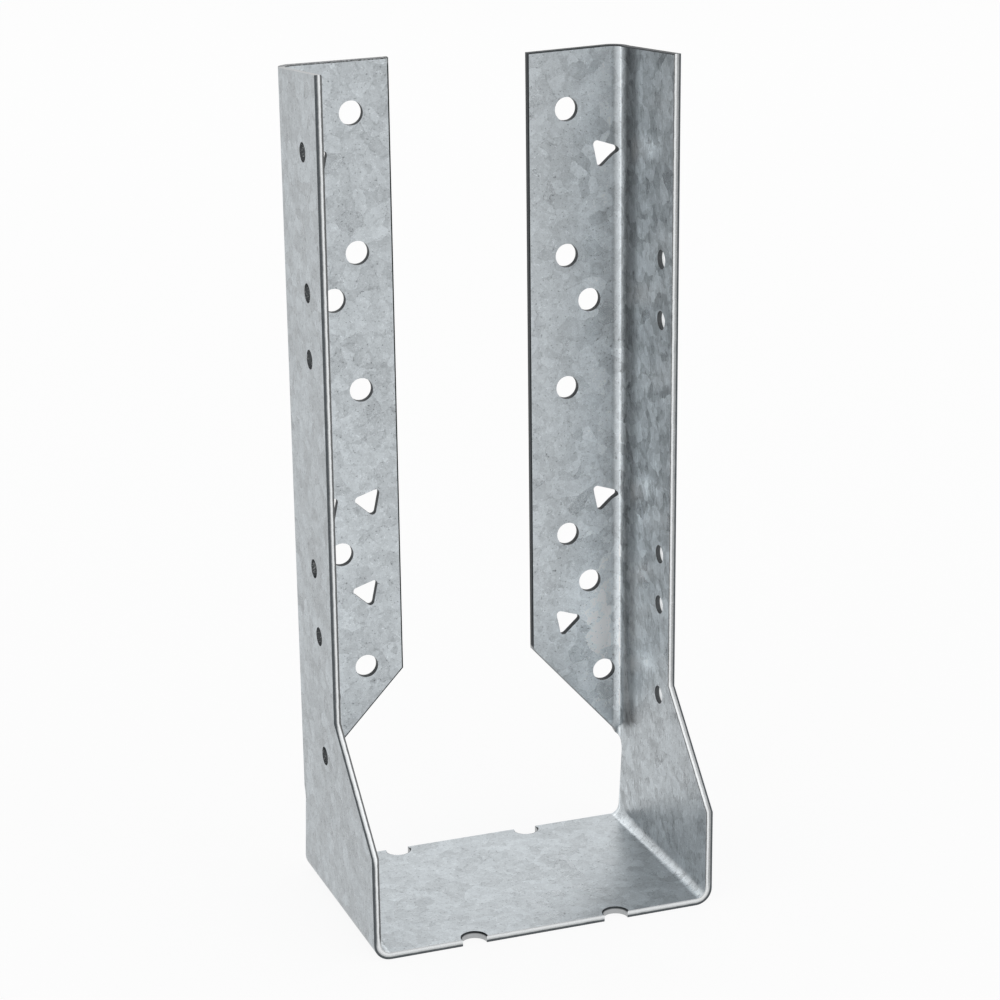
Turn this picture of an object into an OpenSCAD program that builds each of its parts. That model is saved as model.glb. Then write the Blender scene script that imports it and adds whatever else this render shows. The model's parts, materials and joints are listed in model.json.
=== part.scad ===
/* [Size] */
// Clear width between the side plates, for the joist
joist_w = 90.5; // [80:0.5:140]
// Height of the header flanges above the underside of the seat
hanger_h = 219.1; // [190:0.1:260]
// Depth of the seat, from the header face to its front edge
seat_d = 63.5; // [56:0.5:90]

/* [Sheet] */
// Thickness of the sheet
sheet_t = 1.9; // [1.5:0.1:2.5]
// Inside radius of every bend
bend_r = 2.6; // [2.2:0.1:3.6]

/* [Side plates] */
// Depth of the left plate at its top corner, from the header face
left_top_d = 35.3; // [34:0.1:44]
// Depth of the right plate at its top corner, from the header face
right_top_d = 38.2; // [37:0.1:44]
// Depth of the left plate at the kink above its lower slope
left_kink_d = 33.9; // [32.5:0.1:44]
// Depth of the right plate at the kink above its lower slope
right_kink_d = 37.4; // [36.5:0.1:44]
// Rise of each plate's top edge from the bend to the front corner
plate_rise = 2.75; // [0:0.05:5]
// Height of the kink on the left plate
left_kink_z = 54.5; // [48:0.1:70]
// Height of the kink on the right plate
right_kink_z = 52.8; // [48:0.1:70]
// Height at which the left slope meets the front edge
left_toe_z = 28.6; // [20:0.1:38]
// Height at which the right slope meets the front edge
right_toe_z = 26.3; // [20:0.1:38]

/* [Header flanges] */
// Width of the left flange, from the outer face of the left plate
left_flange_w = 29.6; // [28:0.1:38]
// Width of the right flange, from the outer face of the right plate
right_flange_w = 27.2; // [26:0.1:38]
// Height of the corner where each flange's free edge turns into the bevel
bevel_top_z = 54.6; // [42:0.1:60]
// Height at which the bends end
bend_low_z = 27.1; // [20:0.1:34]
// How far the round relief below each bend cuts past the bend into the plate
relief_over = 0.3; // [0.2:0.1:1.5]
// Distance of the seat's back edge from the header face
seat_inset = 2.6; // [2:0.1:3.4]

/* [Nail holes] */
// Diameter of the round holes in the flanges
header_hole_d = 6.35; // [4.5:0.05:6.8]
// Diameter of the holes in the side plates
joist_hole_d = 5; // [3.5:0.05:5.5]
// Side of the triangular holes, measured to their sharp corners
triangle_side = 8.5; // [7:0.1:9]
// Corner radius of the triangular holes
triangle_r = 1; // [0.5:0.1:1.2]
// Radius of the half-round notches in the seat's edges
notch_r = 3.3; // [2.5:0.1:4]

/* [Hidden] */
$fn = 64;

LEFT = -1;
RIGHT = 1;

// The header face is the back of the flanges, the front edge is the seat's
header_y = seat_d / 2;
front_y = -seat_d / 2;

outer_r = bend_r + sheet_t;
half_w = joist_w / 2 + sheet_t;
bend_y = header_y - outer_r;
plate_top_z = hanger_h + plate_rise;
relief_r = outer_r + relief_over;
relief_z = bend_low_z - relief_r;

// Cutters run this far past the faces that they cut
past = 1;

// The free corners of the flanges stand this much above the bends' upper ends
left_free_rise = 0.4;
right_free_rise = -0.8;

// Each bevel runs a little way into the bend: that place, from the plate's outer face,
// and its height above the bend's lower end
bevel_foot_in = 2.85;
left_foot_rise = -0.8;
right_foot_rise = 0.2;

// The rows of nail holes are laid out for this height and spread with it
rows_h = 219.1;
row_k = hanger_h / rows_h;

// Columns of flange holes, from the outer face of the side plate
left_far_col = 19.9;
left_end_col = 19.2;
left_mid_col = 13.2;
left_near_col = 8.4;
left_bend_col = 9.6;
left_edge_col = 21.1;
right_far_col = 16.6;
right_mid_col = 10.2;
right_near_col = 6.1;
right_edge_col = 17.1;

// Flange holes as [column, height]
left_header_holes = [
    [left_end_col, 206.1],
    [left_far_col, 170],
    [left_mid_col, 158],
    [left_far_col, 133.6],
    [left_mid_col, 89],
    [left_end_col, 56.6],
    [left_near_col, 48.9]
];
right_header_holes = [
    [right_far_col, 203.2],
    [right_far_col, 164.4],
    [right_mid_col, 151.9],
    [right_far_col, 128.3],
    [right_far_col, 86.9],
    [right_mid_col, 72.6],
    [right_near_col, 45.8]
];
left_triangles = [
    [left_bend_col, 193.8],
    [left_edge_col, 102.9],
    [left_bend_col, 101.6],
    [left_far_col, 77.6]
];
right_triangles = [
    [right_near_col, 191.3],
    [right_near_col, 96.5],
    [right_edge_col, 61.6]
];

// Direction of the first corner of each triangle, seen from the front
right_corner_a = 12;
left_corner_a = 180 - right_corner_a;

// Side plate holes as [distance from the header face, height]
left_joist_d = 23.1;
right_joist_d = right_kink_d - 6.4;
left_joist_holes = [
    [left_joist_d, 201.2],
    [left_joist_d, 165.9],
    [left_joist_d, 148.9],
    [20.6, 92.7],
    [left_joist_d, 74.9],
    [24.8, 42.1]
];
right_joist_holes = [
    [right_joist_d, 168.2],
    [right_joist_d, 152.1],
    [right_joist_d, 88.2],
    [right_joist_d, 74],
    [right_joist_d, 48.1]
];

// Places of the seat notches across the seat, and how far inside the edge they are centred
back_notch_x = [-21, 16.7];
back_notch_in = 1;
front_notch_x = [-19.9, 19.6];
front_notch_in = 0.4;

// Upright section with round lower corners, standing on the X axis
module round_footed(w, h, r) {
    translate([-w / 2, r])
        square([w, h - r]);
    translate([r - w / 2, 0])
        square([w - 2 * r, h]);
    for (side = [LEFT, RIGHT])
        translate([side * (w / 2 - r), r])
            circle(r);
}

// Folded section of the seat and the side plates, seen from the front
module channel_section() {
    difference() {
        round_footed(2 * half_w, plate_top_z + past, outer_r);
        translate([0, sheet_t])
            round_footed(joist_w, plate_top_z + 2 * past, bend_r);
    }
}

// What is sheared off above and in front of one side plate, seen from the side
module plate_offcut(top_d, kink_d, kink_z, toe_z) {
    high_z = plate_top_z + 3 * past;
    polygon([
        [front_y - past, toe_z],
        [front_y, toe_z],
        [header_y - kink_d, kink_z],
        [header_y - top_d, plate_top_z],
        [bend_y, hanger_h],
        [bend_y, high_z],
        [front_y - past, high_z]
    ]);
}

// Turns a side-view shape into a cutter from the middle out past one side
module side_cutter(side) {
    start = side == RIGHT ? 0 : -half_w - past;
    translate([start, 0, 0])
        rotate([90, 0, 90])
            linear_extrude(half_w + past)
                children();
}

// Seat and side plates, folded from one strip
module channel() {
    difference() {
        translate([0, header_y - seat_inset, 0])
            rotate([90, 0, 0])
                linear_extrude(seat_d - seat_inset)
                    channel_section();
        translate([-half_w - past, bend_y, relief_z])
            cube([2 * (half_w + past), outer_r, plate_top_z]);
        side_cutter(LEFT)
            plate_offcut(left_top_d, left_kink_d, left_kink_z, left_toe_z);
        side_cutter(RIGHT)
            plate_offcut(right_top_d, right_kink_d, right_kink_z, right_toe_z);
    }
}

// Bend that turns the right plate into its flange, over the whole flange height
module header_bend() {
    translate([half_w - outer_r, bend_y, relief_z])
        linear_extrude(hanger_h - relief_z)
            intersection() {
                difference() {
                    circle(outer_r);
                    circle(bend_r);
                }
                square(outer_r);
            }
}

// Flat of the right flange, before its lower end is bevelled
module header_leaf(width, free_rise) {
    root_x = half_w - outer_r;
    free_x = half_w - width;
    translate([0, header_y, 0])
        rotate([90, 0, 0])
            linear_extrude(sheet_t)
                polygon([
                    [root_x, relief_z],
                    [root_x, hanger_h],
                    [free_x, hanger_h + free_rise],
                    [free_x, relief_z]
                ]);
}

// What the bevel takes off the lower end of the right flange and of its bend
module bevel_offcut(width, foot_rise) {
    foot_x = half_w - bevel_foot_in;
    free_x = half_w - width;
    low_z = relief_z - past;
    translate([0, header_y + past, 0])
        rotate([90, 0, 0])
            linear_extrude(outer_r + past)
                polygon([
                    [foot_x, bend_low_z + foot_rise],
                    [free_x, bevel_top_z],
                    [free_x - past, bevel_top_z],
                    [free_x - past, low_z],
                    [foot_x, low_z]
                ]);
}

// Rounds off the foot of the right bend and slants the plate's back edge below it
module bend_relief() {
    translate([half_w - outer_r, header_y, relief_z])
        rotate([0, 90, 0])
            cylinder(h = outer_r + past, r = relief_r);
    side_cutter(RIGHT)
        polygon([
            [header_y - relief_r, relief_z],
            [header_y - seat_inset, outer_r],
            [header_y + past, outer_r],
            [header_y + past, relief_z]
        ]);
}

// Triangle with round corners, its first corner in direction a
module round_triangle(a) {
    centre_r = triangle_side / sqrt(3) - 2 * triangle_r;
    polygon([
        for (turn = [a, a + 120, a + 240], lean = [-60:20:60])
            centre_r * [cos(turn), sin(turn)]
                + triangle_r * [cos(turn + lean), sin(turn + lean)]
    ]);
}

// Places a cutter's outline on one flange, from the bend's start out past the header face
module in_flange(side, spot) {
    translate([side * (half_w - spot[0]), header_y + past, spot[1] * row_k])
        rotate([90, 0, 0])
            linear_extrude(outer_r + past)
                children();
}

// Drills one side plate across its thickness
module joist_hole(side, spot) {
    start = side == RIGHT ? half_w - sheet_t - past : -half_w - past;
    translate([start, header_y - spot[0], spot[1] * row_k])
        rotate([0, 90, 0])
            cylinder(h = sheet_t + 2 * past, d = joist_hole_d);
}

// Half-round notch in an edge of the seat
module seat_notch(x, y) {
    translate([x, y, -past])
        cylinder(h = sheet_t + 2 * past, r = notch_r);
}

module nail_holes() {
    for (spot = left_header_holes)
        in_flange(LEFT, spot)
            circle(d = header_hole_d);
    for (spot = right_header_holes)
        in_flange(RIGHT, spot)
            circle(d = header_hole_d);
    for (spot = left_triangles)
        in_flange(LEFT, spot)
            round_triangle(left_corner_a);
    for (spot = right_triangles)
        in_flange(RIGHT, spot)
            round_triangle(right_corner_a);
    for (spot = left_joist_holes)
        joist_hole(LEFT, spot);
    for (spot = right_joist_holes)
        joist_hole(RIGHT, spot);
}

module seat_notches() {
    for (x = back_notch_x)
        seat_notch(x, header_y - seat_inset - back_notch_in);
    for (x = front_notch_x)
        seat_notch(x, front_y + front_notch_in);
}

// The whole hanger: one sheet, cut, punched and folded
module hanger() {
    color([0.72, 0.74, 0.76])
        difference() {
            union() {
                channel();
                header_bend();
                header_leaf(right_flange_w, right_free_rise);
                mirror([1, 0, 0]) {
                    header_bend();
                    header_leaf(left_flange_w, left_free_rise);
                }
            }
            bevel_offcut(right_flange_w, right_foot_rise);
            bend_relief();
            mirror([1, 0, 0]) {
                bevel_offcut(left_flange_w, left_foot_rise);
                bend_relief();
            }
            nail_holes();
            seat_notches();
        }
}

hanger();
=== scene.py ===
"""Joist hanger: one folded sheet of zinc-coated steel, standing on a pale studio floor."""

import json
import math

import bmesh
import bpy
from mathutils import Matrix, Vector


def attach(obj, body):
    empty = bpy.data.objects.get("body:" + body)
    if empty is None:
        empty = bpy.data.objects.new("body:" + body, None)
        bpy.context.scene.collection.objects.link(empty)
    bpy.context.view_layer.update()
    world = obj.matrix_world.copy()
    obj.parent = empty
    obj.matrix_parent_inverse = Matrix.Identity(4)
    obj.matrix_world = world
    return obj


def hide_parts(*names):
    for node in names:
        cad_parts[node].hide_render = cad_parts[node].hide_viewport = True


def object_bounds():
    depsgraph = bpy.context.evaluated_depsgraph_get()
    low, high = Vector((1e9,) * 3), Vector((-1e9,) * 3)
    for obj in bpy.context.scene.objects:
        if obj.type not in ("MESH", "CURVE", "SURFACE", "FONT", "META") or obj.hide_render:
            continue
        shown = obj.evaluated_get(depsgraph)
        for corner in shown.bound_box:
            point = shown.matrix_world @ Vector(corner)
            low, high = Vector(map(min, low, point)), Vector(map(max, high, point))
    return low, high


bl_info = {
    "name": "Joist Hanger",
    "version": (1, 0, 0),
    "blender": (4, 5, 0),
    "location": "View3D > Sidebar > Hanger",
    "description": "Dresses a folded joist hanger and sets up its studio",
    "category": "Object",
}

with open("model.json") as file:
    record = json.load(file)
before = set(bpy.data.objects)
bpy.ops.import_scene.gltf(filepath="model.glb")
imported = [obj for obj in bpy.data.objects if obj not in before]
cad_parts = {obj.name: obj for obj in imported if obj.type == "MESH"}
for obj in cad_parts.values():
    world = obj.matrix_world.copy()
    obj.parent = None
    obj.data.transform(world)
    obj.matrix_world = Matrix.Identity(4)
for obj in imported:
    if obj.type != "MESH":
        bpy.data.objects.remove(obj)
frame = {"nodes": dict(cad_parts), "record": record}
CAD_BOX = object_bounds()
MOUNTS = {mount["name"]: Vector(mount["pos_m"]) for mount in frame["record"]["mounts"]}

# Faces of the sheet, read from where a joist and a header meet the hanger
SHEET_T = MOUNTS["seat"].z
CLEAR_HALF_W = MOUNTS["joist_side_right"].x
HEADER_Y = MOUNTS["header_face_right"].y
MM = 0.001

# The plates' front edges stand before this, and all of their nail holes behind it
BEFORE_HOLES_Y = -2.0 * MM
# The flanges' top edges lie above this height
BELOW_TOPS_Z = CAD_BOX[1].z - 5.0 * MM
QUARTER_TURN = math.pi / 2

# Cuts meet the skin at more than the first angle, and edges past the second look sharp
RIM_ANGLE = math.radians(35)
SHARP_ANGLE = math.radians(32)
# Faces that meet at less than this are one flat face
FLAT_ANGLE = math.radians(0.5)
WELD = 0.001 * MM
# Rims wider than this are rounded in three steps, and finer ones in two
FINE_RIM = 0.2 * MM


# ---------------------------------------------------------------- settings


class HANGER_PG_sheet(bpy.types.PropertyGroup):
    """Sizes and finish of the folded sheet"""

    bend_radius: bpy.props.FloatProperty(
        name="Bend radius",
        description="Inside radius of every bend",
        default=2.6 * MM,
        min=0.5 * MM,
        unit="LENGTH",
        precision=4,
    )
    rollover: bpy.props.FloatProperty(
        name="Rollover",
        description="Radius drawn on the inner side of the front edges and the holes",
        default=0.3 * MM,
        min=0.0,
        unit="LENGTH",
        precision=4,
    )
    leaf_rollover: bpy.props.FloatProperty(
        name="Leaf rollover",
        description="Radius drawn on the left flange's free edge and bevel",
        default=0.5 * MM,
        min=0.0,
        unit="LENGTH",
        precision=4,
    )
    trim_rollover: bpy.props.FloatProperty(
        name="Trim rollover",
        description="Radius drawn on the inner side of the blanking cuts round the flanges",
        default=0.3 * MM,
        min=0.0,
        unit="LENGTH",
        precision=4,
    )
    burr: bpy.props.FloatProperty(
        name="Outer edge",
        description="Width of the broken corner on the outer side of each cut edge",
        default=0.12 * MM,
        min=0.0,
        unit="LENGTH",
        precision=4,
    )
    zinc: bpy.props.FloatVectorProperty(
        name="Zinc",
        description="Mean colour of the coating",
        subtype="COLOR",
        default=(0.505, 0.540, 0.562),
        min=0.0,
        max=1.0,
    )
    bright_zinc: bpy.props.FloatVectorProperty(
        name="Drawn zinc",
        description="Colour of zinc that the shears wiped over the inner part of a cut edge",
        subtype="COLOR",
        default=(0.80, 0.82, 0.83),
        min=0.0,
        max=1.0,
    )
    torn_steel: bpy.props.FloatVectorProperty(
        name="Torn steel",
        description="Colour of the fractured outer part of a cut edge",
        subtype="COLOR",
        default=(0.14, 0.155, 0.165),
        min=0.0,
        max=1.0,
    )
    edge_tint: bpy.props.FloatProperty(
        name="Edge tint",
        description="Share of light that the coating keeps where it is seen nearly edge on",
        default=0.72,
        min=0.0,
        max=1.0,
        subtype="FACTOR",
    )
    spangle: bpy.props.FloatProperty(
        name="Spangle size",
        description="Usual width of one zinc crystal",
        default=4.2 * MM,
        min=1.0 * MM,
        unit="LENGTH",
        precision=4,
    )
    roughness: bpy.props.FloatProperty(
        name="Roughness",
        description="Mean roughness of the coating",
        default=0.33,
        min=0.05,
        max=1.0,
        subtype="FACTOR",
    )
    metallic: bpy.props.FloatProperty(
        name="Metallic",
        description="How far the coating shines as bare metal rather than as a dull film",
        default=0.85,
        min=0.0,
        max=1.0,
        subtype="FACTOR",
    )


class HANGER_PG_studio(bpy.types.PropertyGroup):
    """Floor, light and camera"""

    floor_radius: bpy.props.FloatProperty(
        name="Floor radius",
        description="Radius of the floor disc",
        default=8.0,
        min=1.0,
        unit="LENGTH",
    )
    shade: bpy.props.FloatProperty(
        name="Floor shade",
        description="Share of real light and shadow that shows on the white floor",
        default=0.12,
        min=0.0,
        max=1.0,
        subtype="FACTOR",
    )
    surround: bpy.props.FloatProperty(
        name="Surround",
        description="Brightness of the room that lights and shows in the metal",
        default=0.9,
        min=0.0,
        max=2.0,
    )
    back_softbox: bpy.props.FloatProperty(
        name="Back softbox",
        description="Power of the large lamp behind, which shines along the seat",
        default=1.5,
        min=0.0,
        unit="POWER",
    )
    front_softbox: bpy.props.FloatProperty(
        name="Front softbox",
        description="Power of the large lamp in front, which fills the flanges",
        default=0.6,
        min=0.0,
        unit="POWER",
    )
    camera_place: bpy.props.FloatVectorProperty(
        name="Camera place",
        description="Where the camera stands",
        default=(-0.24566, -0.67686, 0.33541),
        subtype="TRANSLATION",
        unit="LENGTH",
        precision=5,
    )
    camera_yaw: bpy.props.FloatProperty(
        name="Yaw",
        description="How far the camera turns from the header's direction to the right",
        default=math.radians(21.82),
        subtype="ANGLE",
    )
    camera_dip: bpy.props.FloatProperty(
        name="Dip",
        description="How far the camera looks down",
        default=math.radians(19.50),
        subtype="ANGLE",
    )
    camera_roll: bpy.props.FloatProperty(
        name="Roll",
        description="Turn of the camera about its own axis",
        default=math.radians(0.09),
        subtype="ANGLE",
    )
    lens: bpy.props.FloatProperty(
        name="Lens",
        description="Focal length on a 36 mm sensor, in millimetres",
        default=105.03,
        min=10.0,
    )
    camera_shift: bpy.props.FloatVectorProperty(
        name="Shift",
        description="Shift of the picture on the sensor, as a share of its width",
        size=2,
        default=(-0.0911, 0.1034),
    )


# ---------------------------------------------------------------- shader expressions


class Wire:
    """One output socket. Arithmetic on it adds Math nodes."""

    def __init__(self, shader, socket):
        self.shader = shader
        self.socket = socket

    def output(self, key):
        """Another output of the same node."""
        return Wire(self.shader, self.socket.node.outputs[key])

    def maths(self, operation, first, second=0.0):
        return self.shader.node(
            "ShaderNodeMath", {"operation": operation}, {0: first, 1: second}
        )

    def __add__(self, other):
        return self.maths("ADD", self, other)

    __radd__ = __add__

    def __sub__(self, other):
        return self.maths("SUBTRACT", self, other)

    def __rsub__(self, other):
        return self.maths("SUBTRACT", other, self)

    def __mul__(self, other):
        return self.maths("MULTIPLY", self, other)

    def __truediv__(self, other):
        return self.maths("DIVIDE", self, other)

    def __abs__(self):
        return self.maths("ABSOLUTE", self)


class Shader:
    """Adds nodes to one node tree."""

    def __init__(self, tree):
        tree.nodes.clear()
        self.tree = tree

    def node(self, kind, settings=None, inputs=None):
        """A new node: its settings first, then the values or links of its sockets."""
        made = self.tree.nodes.new(kind)
        for key, value in (settings or {}).items():
            setattr(made, key, value)
        for key, value in (inputs or {}).items():
            if isinstance(value, Wire):
                self.tree.links.new(value.socket, made.inputs[key])
            else:
                made.inputs[key].default_value = value
        return Wire(self, made.outputs[0]) if made.outputs else None

    def vector(self, operation, first, second):
        """Vector Math of two vectors."""
        return self.node(
            "ShaderNodeVectorMath", {"operation": operation}, {0: first, 1: second}
        )

    def length(self, vector):
        return self.node("ShaderNodeVectorMath", {"operation": "LENGTH"}, {0: vector}).output(1)

    def scaled(self, vector, factor):
        """A vector times a number."""
        return self.node(
            "ShaderNodeVectorMath", {"operation": "SCALE"}, {0: vector, "Scale": factor}
        )

    def blend(self, mask, first, second):
        """A colour that goes from the first to the second with the mask."""
        mixed = self.node(
            "ShaderNodeMix", {"data_type": "RGBA"}, {0: mask, 6: first, 7: second}
        )
        return mixed.output(2)

    def tinted(self, colour, level):
        """A colour times a grey level."""
        grey = self.node("ShaderNodeCombineColor", {}, {0: level, 1: level, 2: level})
        mixed = self.node(
            "ShaderNodeMix",
            {"data_type": "RGBA", "blend_type": "MULTIPLY", "clamp_result": False},
            {0: 1.0, 6: colour, 7: grey},
        )
        return mixed.output(2)

    def rise(self, value, low, high, start=0.0, end=1.0):
        """A smooth step from start to end as the value goes from low to high."""
        return self.node(
            "ShaderNodeMapRange",
            {"interpolation_type": "SMOOTHSTEP"},
            {"Value": value, 1: low, 2: high, 3: start, 4: end},
        )

    def fall(self, value, low, high):
        """A smooth step from 1 to 0 as the value goes from low to high."""
        return self.rise(value, low, high, 1.0, 0.0)

    def band(self, value, bounds):
        """0 outside the first and last of four bounds, and 1 between the middle two."""
        start, full, fade, end = bounds
        return self.rise(value, start, full) * self.fall(value, fade, end)

    def ramp(self, value, low, high, start=0.0, end=1.0):
        """A straight ramp from start to end, level outside its two ends."""
        return self.node(
            "ShaderNodeMapRange", {}, {"Value": value, 1: low, 2: high, 3: start, 4: end}
        )

    def larger(self, first, second):
        return self.node("ShaderNodeMath", {"operation": "MAXIMUM"}, {0: first, 1: second})

    def noise(self, vector, scale, detail=2.0, roughness=0.5):
        return self.node(
            "ShaderNodeTexNoise",
            {"noise_dimensions": "3D"},
            {"Vector": vector, "Scale": scale, "Detail": detail, "Roughness": roughness},
        )

    def cells(self, vector, scale, feature="F1"):
        return self.node(
            "ShaderNodeTexVoronoi",
            {"voronoi_dimensions": "3D", "feature": feature},
            {"Vector": vector, "Scale": scale, "Randomness": 1.0},
        )

    def bump(self, height, strength, distance, normal=None):
        inputs = {"Height": height, "Strength": strength, "Distance": distance}
        if normal:
            inputs["Normal"] = normal
        return self.node("ShaderNodeBump", {}, inputs)

    def finish_surface(self, surface):
        self.node("ShaderNodeOutputMaterial", {}, {"Surface": surface})


def new_shader(name):
    """A material and the shader that builds it."""
    material = bpy.data.materials.new(name)
    material.use_nodes = True
    return material, Shader(material.node_tree)


def rgba(colour):
    return (*colour, 1.0)


def millimetres(shader):
    """Place on the hanger, in millimetres."""
    place = shader.node("ShaderNodeTexCoord").output("Object")
    return shader.scaled(place, 1.0 / MM)


def split(shader, vector):
    made = shader.node("ShaderNodeSeparateXYZ", {}, {0: vector})
    return made, made.output(1), made.output(2)


def scattered(shader, place, amount, scale, detail):
    """The place moved about by noise, so that patterns lose their straight lines."""
    wobble = shader.noise(place, scale, detail).output(1)
    centred = shader.vector("SUBTRACT", wobble, (0.5, 0.5, 0.5))
    return shader.vector("ADD", place, shader.scaled(centred, amount))


# ---------------------------------------------------------------- where on the sheet

# All the finishes below measure in millimetres and radians.
# The header bends end between these heights. On a plate, what they do to its finish ends
# higher with the distance from the bend
BEND_FOOT = (27.5, 30.5)
BEND_FOOT_SLOPE = 0.4


class SheetPlace:
    """Where a point lies on the folded sheet."""

    def __init__(self, shader, place, settings):
        x, y, z = split(shader, place)
        radius = settings.bend_radius / MM
        thickness = SHEET_T / MM
        across = abs(x) - (CLEAR_HALF_W / MM - radius)
        back = y - ((HEADER_Y - SHEET_T) / MM - radius)
        down = (thickness + radius) - z
        legs = [shader.larger(leg, 0.0) for leg in (across, back, down)]
        span = shader.node("ShaderNodeCombineXYZ", {}, {0: legs[0], 1: legs[1], 2: legs[2]})
        self.shader = shader
        self.place = place
        self.height = z
        # -1 on the left half and 1 on the right half
        self.side = shader.node("ShaderNodeMath", {"operation": "SIGN"}, {0: x})
        self.left = 0.5 - self.side * 0.5
        # 0 on the inner face and 1 on the outer face
        self.depth = (shader.length(span) - radius) / thickness
        self.inner = shader.fall(self.depth, 0.3, 0.6)
        # Angle round a header bend: 0 on the flange and a quarter turn on the plate
        self.turn = legs[0].maths("ARCTAN2", legs[0], legs[1])
        # Angle round a seat bend: 0 on the seat and a quarter turn on the plate
        self.seat_turn = legs[0].maths("ARCTAN2", legs[0], legs[2])
        self.past_bend = shader.larger(back * -1.0, 0.0)
        self.before_bend = shader.larger(across * -1.0, 0.0)
        self.beside_header = shader.rise(z - self.past_bend * BEND_FOOT_SLOPE, *BEND_FOOT)
        self.on_plate = shader.rise(self.turn, 1.2, 1.5)
        self.on_flange = 1.0 - self.on_plate

    def near(self, centre, reach):
        """1 at a place on a plate, fading to 0 at the reach above it and twice that beside it."""
        away = self.shader.vector("SUBTRACT", self.place, centre)
        away = self.shader.vector("MULTIPLY", away, (1.0, 0.5, 1.0))
        return self.shader.fall(self.shader.length(away), reach * 0.2, reach)


# ---------------------------------------------------------------- the zinc coating

# Springback: a header bend starts late and ends short of a quarter turn, and its plate
# carries the rest of the turn over a short reach
SPRUNG_FROM = 0.28
SPRUNG_TURN = 0.76
SPRUNG_REACH = 7.5

# Angles round the header bends where a painted highlight lies, with a thin brighter line, and
# round the seat's bends where a painted highlight lies
PAINTED_BEND_HIGHLIGHT = (0.7, 1.1, 1.4, QUARTER_TURN)
PAINTED_BEND_HIGHLIGHT_LINE = (1.08, 1.20, 1.28, 1.42)
PAINTED_SEAT_BEND_HIGHLIGHT = (0.02, 0.25, 0.60, 1.20)
# Distances past a header bend where its plate carries a painted dark band of shade
PAINTED_BEND_SHADE = (0.8, 3.6, 7.4, 12.5)
# Heights of the painted shade at each header bend's foot, the painted light on the right flange's
# toe, the painted light low down, the painted shade above it and the calmer patches about the
# kinks
PAINTED_FOOT_SHADE = (27.5, 30.5, 33.0, 41.0)
PAINTED_TOE_LIGHT = (28.0, 34.0, 58.0, 95.0)
PAINTED_LOW_LIGHT = (40.0, 60.0, 61.0, 215.0)
PAINTED_HIGH_SHADE = (60.0, 215.0)
CALM = (30.0, 38.0, 62.0, 90.0)
# Painted light: paler spots on the inner face of the right plate
PAINTED_LIGHT_SPOTS = ((45.25, 8.0, 196.5), (45.25, 8.0, 105.0), (45.25, 9.0, 55.5))
PAINTED_LIGHT_REACH = 4.5

GRAIN_BUMP = 0.05 * MM


def spangle_fields(shader, place, size):
    """Zinc crystals: two sizes of patch with a tone each, soft clouds, broken borders."""
    ragged = scattered(shader, place, 2.6, 0.30, 3.0)
    crystal = shader.cells(ragged, 1.0 / size)
    large = split(shader, crystal.output(1))[0]
    small = split(shader, shader.cells(ragged, 2.3 / size).output(1))[1]
    border = shader.cells(ragged, 1.0 / size, "DISTANCE_TO_EDGE")
    broken = shader.rise(shader.noise(place, 0.42, 1.0), 0.50, 0.60)
    lines = shader.fall(border, 0.006, 0.05) * broken
    clouds = shader.noise(place, 0.05, 3.0, 0.55) - 0.5
    return large, small, lines, clouds


def threads(shader, place):
    """Short curved hairlines: bright ones in some patches, dark ones in others."""
    swirl = abs(shader.noise(place, 0.62, 2.0, 0.6) - 0.5)
    hair = shader.fall(swirl, 0.002, 0.013)
    patch = shader.noise(place, 0.33, 1.0)
    return hair * shader.rise(patch, 0.55, 0.60), hair * shader.fall(patch, 0.40, 0.45)


def sprung_normal(shader, spot):
    """The inner skin's normal where springback carries each header bend into its plate."""
    first = shader.ramp(spot.turn, SPRUNG_FROM, QUARTER_TURN, 0.0, SPRUNG_TURN)
    second = shader.ramp(
        spot.past_bend, 0.0, SPRUNG_REACH, 0.0, QUARTER_TURN - SPRUNG_TURN
    )
    lean = (spot.turn - first - second) * spot.inner * spot.side * spot.beside_header
    normal = shader.node("ShaderNodeNewGeometry").output("Normal")
    return shader.node(
        "ShaderNodeVectorRotate",
        {"rotation_type": "Z_AXIS"},
        {"Vector": normal, "Center": (0.0, 0.0, 0.0), "Angle": lean},
    )


def painted_flange_light(shader, spot):
    """Painted light: the flanges are painted paler towards their bends, and the right one at its
    toe as well.
    """
    # Painted light that fills the corner beside each bend, more on the right flange
    corner = shader.fall(spot.before_bend, 0.0, 16.0) * shader.fall(spot.turn, 0.1, 0.5)
    corner = corner * (0.34 + spot.side * 0.22)
    toe = shader.band(spot.height, PAINTED_TOE_LIGHT) * shader.fall(spot.before_bend, 6.0, 24.0)
    toe = toe * shader.rise(spot.side, 0.0, 0.5) * spot.on_flange
    return (corner + toe * 0.30) * spot.beside_header


def painted_bend_light_and_shade(shader, spot):
    """Each header bend carries a painted highlight, and the plate beside it a painted dark band
    of shade.
    """
    # Painted highlight on the bend, with a thin brighter line
    painted_highlight = shader.band(spot.turn, PAINTED_BEND_HIGHLIGHT) * 0.25
    painted_highlight = painted_highlight + shader.band(spot.turn, PAINTED_BEND_HIGHLIGHT_LINE) * 0.40
    painted_highlight = painted_highlight * shader.fall(spot.past_bend, 0.2, 1.0)
    # Painted shade: a dark band on the plate beside the bend, darker at the bend's foot
    dull = shader.band(spot.past_bend, PAINTED_BEND_SHADE) * spot.on_plate
    foot = shader.band(spot.height, PAINTED_FOOT_SHADE)
    return painted_highlight - dull * (spot.beside_header * 0.48 + foot * 0.2)


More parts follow.
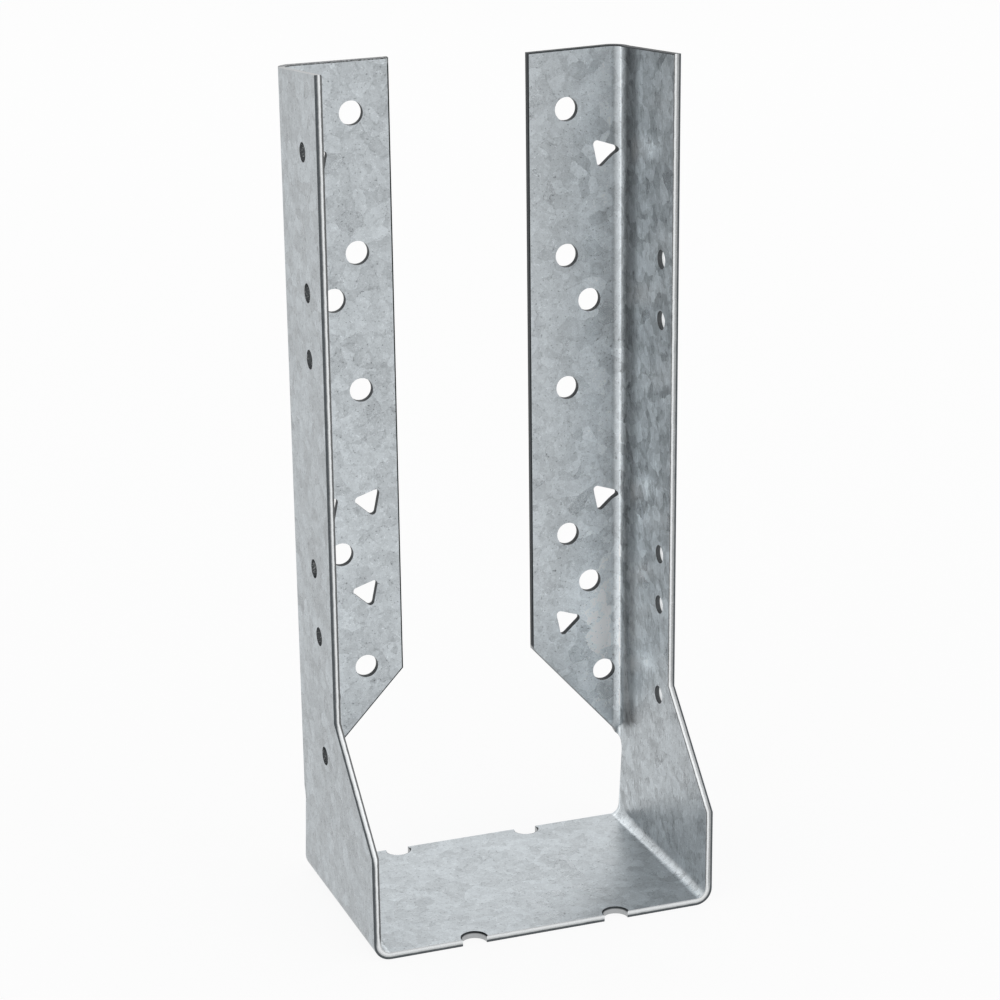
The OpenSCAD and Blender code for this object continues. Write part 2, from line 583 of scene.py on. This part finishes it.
def painted_height_light_and_shade(shader, spot):
    """Painted shade and light: the sheet is painted darker upwards, most of all the plates, and
    paler low down; the plates are also painted darker throughout.
    """
    high = shader.ramp(spot.height, *PAINTED_HIGH_SHADE) * spot.beside_header
    low = shader.band(spot.height, PAINTED_LOW_LIGHT)
    shift = low * (0.06 - spot.on_plate * 0.04) - high * (0.04 + spot.on_plate * 0.14)
    return shift - spot.on_plate * spot.beside_header * 0.07


def painted_light_and_shade(shader, spot):
    """Painted light and shade in the coating's tone on the inner skin."""
    shift = painted_flange_light(shader, spot) + painted_bend_light_and_shade(shader, spot)
    shift = shift + painted_height_light_and_shade(shader, spot)
    # Painted highlight along the seat's bends
    shift = shift + shader.band(spot.seat_turn, PAINTED_SEAT_BEND_HIGHLIGHT) * 0.42
    # Painted light: paler spots on the right plate
    for centre in PAINTED_LIGHT_SPOTS:
        shift = shift + spot.near(centre, PAINTED_LIGHT_REACH) * 0.46
    return 1.0 + shift * spot.inner


def plate_patches(shader, spot, large, small):
    """The crystals stand out more on the plates' inner skin, and less about the kink."""
    patches = (large - 0.5) * 0.30 + (small - 0.5) * 0.22
    calm = 1.0 - shader.band(spot.height, CALM) * 0.6
    patches = patches * calm * (0.3 + spot.beside_header * 0.7)
    return patches * spot.on_plate * spot.inner


def coated_face(settings):
    """Hot-dip zinc: patchy satin crystals, cloudy tone, hairlines, specks and flecks."""
    material, shader = new_shader("zinc_coating")
    place = millimetres(shader)
    spot = SheetPlace(shader, place, settings)
    large, small, lines, clouds = spangle_fields(shader, place, settings.spangle / MM)
    bright, dark = threads(shader, place)
    grain = shader.noise(place, 3.4, 1.0, 0.6) - 0.5
    along_strip = shader.vector("MULTIPLY", place, (0.35, 1.7, 0.35))
    rolled = shader.noise(along_strip, 0.9, 2.0, 0.6)
    dashes = shader.rise(rolled, 0.62, 0.66) - shader.fall(rolled, 0.33, 0.38) * 0.8
    spots = shader.noise(place, 1.7, 1.0, 0.5)
    specks = shader.rise(spots, 0.68, 0.72)
    flecks = shader.fall(spots, 0.27, 0.31)

    tone = 0.81 + large * 0.25 + small * 0.15 + clouds * 0.16
    tone = tone + grain * (0.42 + spot.on_plate * 0.2) + (rolled - 0.5) * 0.22
    tone = tone - dashes * (0.14 + spot.on_plate * (0.09 + spot.inner * 0.13))
    tone = tone + bright * 0.30 + flecks * 0.28 - lines * 0.14 - dark * 0.24 - specks * 0.42
    tone = tone + plate_patches(shader, spot, large, small)
    # The coating's colour carries painted light and shade
    tone = tone * painted_light_and_shade(shader, spot)

    height = grain - specks * 0.6 + bright * 0.3 + rolled * 0.4
    surface = shader.node(
        "ShaderNodeBsdfPrincipled",
        {},
        {
            "Base Color": shader.tinted(rgba(settings.zinc), tone),
            "Metallic": settings.metallic,
            "Roughness": settings.roughness
            + (large - 0.5) * 0.12
            + specks * 0.15
            - bright * 0.08,
            "Specular Tint": (settings.edge_tint,) * 3 + (1.0,),
            "Normal": shader.bump(height, 0.35, GRAIN_BUMP, sprung_normal(shader, spot)),
        },
    )
    shader.finish_surface(surface)
    return material


# ---------------------------------------------------------------- cut edges

# Heights of the plates' nail holes and of the sloping front edges
HOLED = (30.0, 32.0, 212.0, 214.0)
SLOPED = (26.0, 29.0, 52.0, 55.0)
# Heights above which only the plates' and the flanges' top edges lie, and that of the seat
PLATE_TOPS = (215.0, 217.0)
FLANGE_TOPS = (217.0, 218.5)
SEAT_TOP = (1.9, 2.1)
# The right bevel lies below this height, which rises with the distance from its bend
BEVEL_TOP = (29.6, 30.4)
BEVEL_SLOPE = 1.12
# Further than this from the bend there is only the left flange's free edge
FREE_EDGE = (21.5, 24.0)

TEAR_BUMP = 0.12 * MM


def punched_levels(shader, spot, tear):
    """Share of torn steel, and the brightness of the wiped zinc and of the torn steel."""
    # Light that strays through the plates' nail holes
    lit = shader.rise(spot.depth, 0.62, 0.76) * (1.0 - spot.left)
    lit = lit + shader.rise(tear, 0.57, 0.66) * 0.45 * spot.left
    lit = (lit + 0.12) * shader.band(spot.height, HOLED)
    lit = lit * shader.rise(spot.past_bend, 3.0, 4.0)
    # A seat notch is dark only along its upper rim
    notch = shader.fall(spot.height, *SEAT_TOP) * shader.rise(spot.depth, 0.15, 0.4)
    plate_top = shader.rise(spot.height, *PLATE_TOPS) * spot.on_plate * spot.left
    # The right flange's bevel faces the seat, which lights it
    bevel = shader.fall(spot.height - spot.before_bend * BEVEL_SLOPE, *BEVEL_TOP)
    bevel = bevel * shader.rise(spot.height, 25.0, 28.0) * (1.0 - spot.left)
    # The left flange's top was cut raggedly and is dark only in specks
    ragged = shader.rise(shader.noise(spot.place, 5.0, 1.0, 0.5), 0.46, 0.56)
    ragged = ragged * shader.rise(spot.height, *FLANGE_TOPS) * spot.on_flange * spot.left
    torn = 1.0 - lit - notch * 0.75 - (plate_top + bevel + ragged) * 0.6
    # The left flange's free edge is painted darker: painted shade along its rim
    free = shader.rise(spot.before_bend, *FREE_EDGE) * spot.left
    return torn, lit * 0.3 + 0.7, 0.416 - free * 0.24


def sheared_levels(shader, spot):
    """Share of torn steel, and the brightness of the wiped zinc and of the torn steel."""
    waver = shader.noise(spot.place, 0.55, 2.0, 0.6) - 0.5
    wavy = spot.depth + waver * 0.12
    on_seat = shader.fall(spot.height, 3.5, 6.5)
    left_plate = spot.left * (1.0 - on_seat)
    # The sloping front edges above the seat are drawn brighter
    fresh = shader.band(spot.height, SLOPED)
    # Painted shade: a thin dark line along the inner rim of the cut edge
    painted_rim_shade = shader.fall(wavy - left_plate * 0.12, 0.08, 0.18) * (0.82 - on_seat * 0.54)
    drawn = shader.rise(wavy - left_plate * 0.08, 0.36, 0.50) * (0.52 - on_seat * 0.27)
    drawn = drawn * (1.0 - fresh * (0.2 + spot.left * 0.4))
    shorn = wavy + left_plate * 0.10 + on_seat * 0.08 - fresh * (0.02 + spot.left * 0.08)
    wiped = (1.0 - painted_rim_shade) * (1.0 - drawn) * (1.0 + fresh * 0.18)
    return shader.rise(shorn, 0.62, 0.82), wiped, 0.8


def cut_edge(settings, name, punched):
    """Cut edge: zinc wiped bright on the inner part, torn dark steel on the outer part."""
    material, shader = new_shader(name)
    place = millimetres(shader)
    tear = shader.noise(place, 2.4, 2.0, 0.7)
    spot = SheetPlace(shader, place, settings)
    if punched:
        torn, wiped_level, steel_level = punched_levels(shader, spot, tear)
    else:
        torn, wiped_level, steel_level = sheared_levels(shader, spot)

    wiped = shader.tinted(rgba(settings.bright_zinc), wiped_level * (0.80 + tear * 0.30))
    steel = shader.tinted(rgba(settings.torn_steel), (0.40 + tear) * steel_level)
    surface = shader.node(
        "ShaderNodeBsdfPrincipled",
        {},
        {
            "Base Color": shader.blend(torn, wiped, steel),
            "Metallic": 1.0,
            "Roughness": 0.26 + torn * 0.30 + (tear - 0.5) * 0.10,
            "Normal": shader.bump(tear * (0.2 + torn * 0.8), 0.55, TEAR_BUMP),
        },
    )
    shader.finish_surface(surface)
    return material


# ---------------------------------------------------------------- the folded sheet


def from_fold(point, radius):
    """Vector to a point from the middle of the nearest bend: it stands square to the sheet."""
    across = max(abs(point.x) - (CLEAR_HALF_W - radius), 0.0)
    back = max(point.y - (HEADER_Y - SHEET_T - radius), 0.0)
    down = max(SHEET_T + radius - point.z, 0.0)
    return Vector((math.copysign(across, point.x), back, -down))


def inner_depth(point, radius):
    """How far a point lies outside the sheet's inner face, in metres."""
    return from_fold(point, radius).length - radius


def edge_middle(edge):
    return (edge.verts[0].co + edge.verts[1].co) / 2


def is_cut_face(face, radius):
    """Whether a face runs through the sheet's thickness, as a sheared edge does."""
    depths = [inner_depth(vertex.co, radius) for vertex in face.verts]
    return max(depths) - min(depths) > 0.5 * SHEET_T


def rim_edges(mesh, radius, depth):
    """Sharp edges between the cuts and the skin at that depth."""
    found = []
    for edge in mesh.edges:
        if len(edge.link_faces) != 2 or edge.calc_face_angle() < RIM_ANGLE:
            continue
        if abs(inner_depth(edge_middle(edge), radius) - depth) < 0.1 * SHEET_T:
            found.append(edge)
    return found


def cut_finish(face, radius):
    """Slot of a cut or its rim: 1 on a sheared front edge, 2 on a punched or trimmed one."""
    middle = face.calc_center_median()
    square = from_fold(middle, radius).normalized()
    along = face.normal - square * face.normal.dot(square)
    front = CAD_BOX[0].y + 0.5 * MM if middle.z < SHEET_T + MM else BEFORE_HOLES_Y
    return 1 if along.normalized().y < -0.5 and middle.y < front else 2


def outline_cuts(cuts):
    """The cut faces round the whole sheet: the largest of the runs that hang together."""
    waiting = set(cuts)
    runs = []
    while waiting:
        fresh = [waiting.pop()]
        run = set(fresh)
        while fresh:
            for edge in fresh.pop().edges:
                for face in edge.link_faces:
                    if face in waiting:
                        waiting.remove(face)
                        run.add(face)
                        fresh.append(face)
        runs.append(run)
    return max(runs, key=lambda run: sum(face.calc_area() for face in run))


def trimmed_rims(mesh, radius):
    """Inner rims of the cuts round the sheet's outline, without the plates' front edges."""
    outline = outline_cuts([face for face in mesh.faces if face.material_index])
    return [
        edge
        for edge in rim_edges(mesh, radius, 0.0)
        if any(face in outline and face.material_index == 2 for face in edge.link_faces)
    ]


def is_on_left_leaf(edge):
    """Whether a rim lies on the flat of the left flange, below its top edge."""
    middle = edge_middle(edge)
    on_flat = middle.y > HEADER_Y - 1.1 * SHEET_T
    return on_flat and middle.x < 0.0 and middle.z < BELOW_TOPS_Z


def soften_rims(mesh, rims, radius, width, coated_lip):
    """Rounds rims. Their faces get the cut's finish, or zinc on the lip of a hole."""
    made = bmesh.ops.bevel(
        mesh,
        geom=rims,
        offset=width,
        offset_type="OFFSET",
        segments=3 if width > FINE_RIM else 2,
        profile=0.5,
        affect="EDGES",
        clamp_overlap=coated_lip,
    )
    mesh.normal_update()
    for face in made["faces"]:
        finish = cut_finish(face, radius)
        square = from_fold(face.calc_center_median(), radius).normalized()
        lip = coated_lip and finish == 2 and abs(face.normal.dot(square)) > 0.8
        face.material_index = 0 if lip else finish


def folded_sheet(settings):
    """The hanger's own piece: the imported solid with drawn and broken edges."""
    data = frame["nodes"]["hanger"].data.copy()
    data.name = "folded_sheet"
    radius = settings.bend_radius
    mesh = bmesh.new()
    mesh.from_mesh(data)
    bmesh.ops.remove_doubles(mesh, verts=mesh.verts, dist=WELD)
    bmesh.ops.dissolve_limit(
        mesh, angle_limit=FLAT_ANGLE, verts=mesh.verts, edges=mesh.edges
    )
    mesh.normal_update()
    for face in mesh.faces:
        face.material_index = cut_finish(face, radius) if is_cut_face(face, radius) else 0
    leaf = [edge for edge in trimmed_rims(mesh, radius) if is_on_left_leaf(edge)]
    soften_rims(mesh, leaf, radius, settings.leaf_rollover, False)
    soften_rims(mesh, trimmed_rims(mesh, radius), radius, settings.trim_rollover, False)
    soften_rims(mesh, rim_edges(mesh, radius, 0.0), radius, settings.rollover, True)
    soften_rims(mesh, rim_edges(mesh, radius, SHEET_T), radius, settings.burr, True)
    bmesh.ops.dissolve_degenerate(mesh, dist=WELD, edges=mesh.edges)
    bmesh.ops.recalc_face_normals(mesh, faces=mesh.faces)
    for face in mesh.faces:
        face.smooth = True
    data.materials.clear()
    data.materials.append(coated_face(settings))
    data.materials.append(cut_edge(settings, "sheared_edge", False))
    data.materials.append(cut_edge(settings, "punched_edge", True))
    mesh.to_mesh(data)
    mesh.free()
    data.set_sharp_from_angle(angle=SHARP_ANGLE)
    piece = bpy.data.objects.new("folded_sheet", data)
    bpy.context.scene.collection.objects.link(piece)
    weighted = piece.modifiers.new("even_shading", "WEIGHTED_NORMAL")
    weighted.keep_sharp = True
    weighted.weight = 80
    return piece


class HANGER_OT_folded_sheet(bpy.types.Operator):
    """Makes the folded sheet with its zinc coating and sheared edges"""

    bl_idname = "hanger.folded_sheet"
    bl_label = "Folded Sheet"

    def execute(self, context):
        piece = folded_sheet(context.scene.hanger_sheet)
        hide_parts("hanger")
        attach(piece, "root")
        return {"FINISHED"}


# ---------------------------------------------------------------- the studio

WHITE = (1.0, 1.0, 1.0, 1.0)
MATT_WHITE = (0.9, 0.9, 0.9, 1.0)
# The lamps' places and sides, in metres
BACK_PLACE = (0.4, 1.3, 0.95)
BACK_SIZE = 1.1
FRONT_PLACE = (0.2, -1.5, 0.2)
FRONT_SIZE = 1.0
# The camera's sensor is this wide, in millimetres, and it sees from this far, in metres
SENSOR_W = 36.0
NEAREST = 0.01


def seen_directly(shader):
    """1 for rays from the camera, from gloss and through glass, 0 for the rest."""
    path = shader.node("ShaderNodeLightPath")
    glossy = path.output("Is Glossy Ray")
    clear = path.output("Is Transmission Ray")
    return shader.larger(shader.larger(path.output("Is Camera Ray"), glossy), clear)


def floor_finish(settings):
    """Matt white that shows as white, with a faint share of the real shadow."""
    material, shader = new_shader("studio_floor")
    matt = shader.node("ShaderNodeBsdfDiffuse", {}, {"Color": MATT_WHITE, "Roughness": 0.5})
    white = shader.node("ShaderNodeEmission", {}, {"Color": WHITE, "Strength": 1.0})
    mask = seen_directly(shader) * (1.0 - settings.shade)
    surface = shader.node("ShaderNodeMixShader", {}, {0: mask, 1: matt, 2: white})
    shader.finish_surface(surface)
    return material


def studio_floor(settings):
    data = bpy.data.meshes.new("studio_floor")
    mesh = bmesh.new()
    bmesh.ops.create_circle(
        mesh, cap_ends=True, segments=96, radius=settings.floor_radius
    )
    mesh.to_mesh(data)
    mesh.free()
    data.materials.append(floor_finish(settings))
    floor = bpy.data.objects.new("studio_floor", data)
    floor.location.z = CAD_BOX[0].z
    bpy.context.scene.collection.objects.link(floor)


def studio_surround(settings):
    """A pale room: white where it is seen, and at a plain level where it lights."""
    world = bpy.data.worlds.new("studio_surround")
    world.use_nodes = True
    bpy.context.scene.world = world
    shader = Shader(world.node_tree)
    path = shader.node("ShaderNodeLightPath")
    lit = shader.node(
        "ShaderNodeBackground", {}, {"Color": WHITE, "Strength": settings.surround}
    )
    white = shader.node("ShaderNodeBackground", {}, {"Color": WHITE, "Strength": 1.0})
    camera_ray = path.output("Is Camera Ray")
    surface = shader.node("ShaderNodeMixShader", {}, {0: camera_ray, 1: lit, 2: white})
    shader.node("ShaderNodeOutputWorld", {}, {"Surface": surface})


def softbox(name, place, target, size, power):
    """A large square lamp at a place, aimed at a target."""
    data = bpy.data.lights.new(name, "AREA")
    data.shape = "SQUARE"
    data.size = size
    data.energy = power
    lamp = bpy.data.objects.new(name, data)
    lamp.location = place
    aim = Vector(target) - Vector(place)
    lamp.rotation_euler = aim.to_track_quat("-Z", "Y").to_euler()
    bpy.context.scene.collection.objects.link(lamp)


def studio_lamps(settings):
    middle = (CAD_BOX[0] + CAD_BOX[1]) / 2
    softbox("back_softbox", BACK_PLACE, middle, BACK_SIZE, settings.back_softbox)
    softbox("front_softbox", FRONT_PLACE, middle, FRONT_SIZE, settings.front_softbox)


def studio_camera(settings):
    data = bpy.data.cameras.new("studio_camera")
    data.lens = settings.lens
    data.sensor_width = SENSOR_W
    data.shift_x, data.shift_y = settings.camera_shift
    data.clip_start = NEAREST
    camera = bpy.data.objects.new("studio_camera", data)
    turn = Matrix.Rotation(-settings.camera_yaw, 4, "Z")
    tilt = Matrix.Rotation(QUARTER_TURN - settings.camera_dip, 4, "X")
    roll = Matrix.Rotation(-settings.camera_roll, 4, "Z")
    camera.matrix_world = Matrix.Translation(settings.camera_place) @ turn @ tilt @ roll
    bpy.context.scene.collection.objects.link(camera)
    bpy.context.scene.camera = camera


class HANGER_OT_studio(bpy.types.Operator):
    """Sets the floor, the pale room, the lamps and the camera"""

    bl_idname = "hanger.studio"
    bl_label = "Studio"

    def execute(self, context):
        settings = context.scene.hanger_studio
        studio_floor(settings)
        studio_surround(settings)
        studio_lamps(settings)
        studio_camera(settings)
        context.scene.view_settings.view_transform = "Standard"
        return {"FINISHED"}


class HANGER_PT_panel(bpy.types.Panel):
    """Lists the hanger's steps and settings"""

    bl_idname = "HANGER_PT_panel"
    bl_label = "Joist Hanger"
    bl_space_type = "VIEW_3D"
    bl_region_type = "UI"
    bl_category = "Hanger"

    def draw(self, context):
        layout = self.layout
        for group in (context.scene.hanger_sheet, context.scene.hanger_studio):
            for name in type(group).__annotations__:
                layout.prop(group, name)
        for operator in (HANGER_OT_folded_sheet, HANGER_OT_studio):
            layout.operator(operator.bl_idname)


CLASSES = (
    HANGER_PG_sheet,
    HANGER_PG_studio,
    HANGER_OT_folded_sheet,
    HANGER_OT_studio,
    HANGER_PT_panel,
)


def register():
    for cls in CLASSES:
        bpy.utils.register_class(cls)
    bpy.types.Scene.hanger_sheet = bpy.props.PointerProperty(type=HANGER_PG_sheet)
    bpy.types.Scene.hanger_studio = bpy.props.PointerProperty(type=HANGER_PG_studio)


def unregister():
    del bpy.types.Scene.hanger_studio
    del bpy.types.Scene.hanger_sheet
    for cls in reversed(CLASSES):
        bpy.utils.unregister_class(cls)


def main():
    register()
    bpy.ops.hanger.folded_sheet()
    bpy.ops.hanger.studio()
    bpy.context.view_layer.update()


if __name__ == "__main__":
    main()
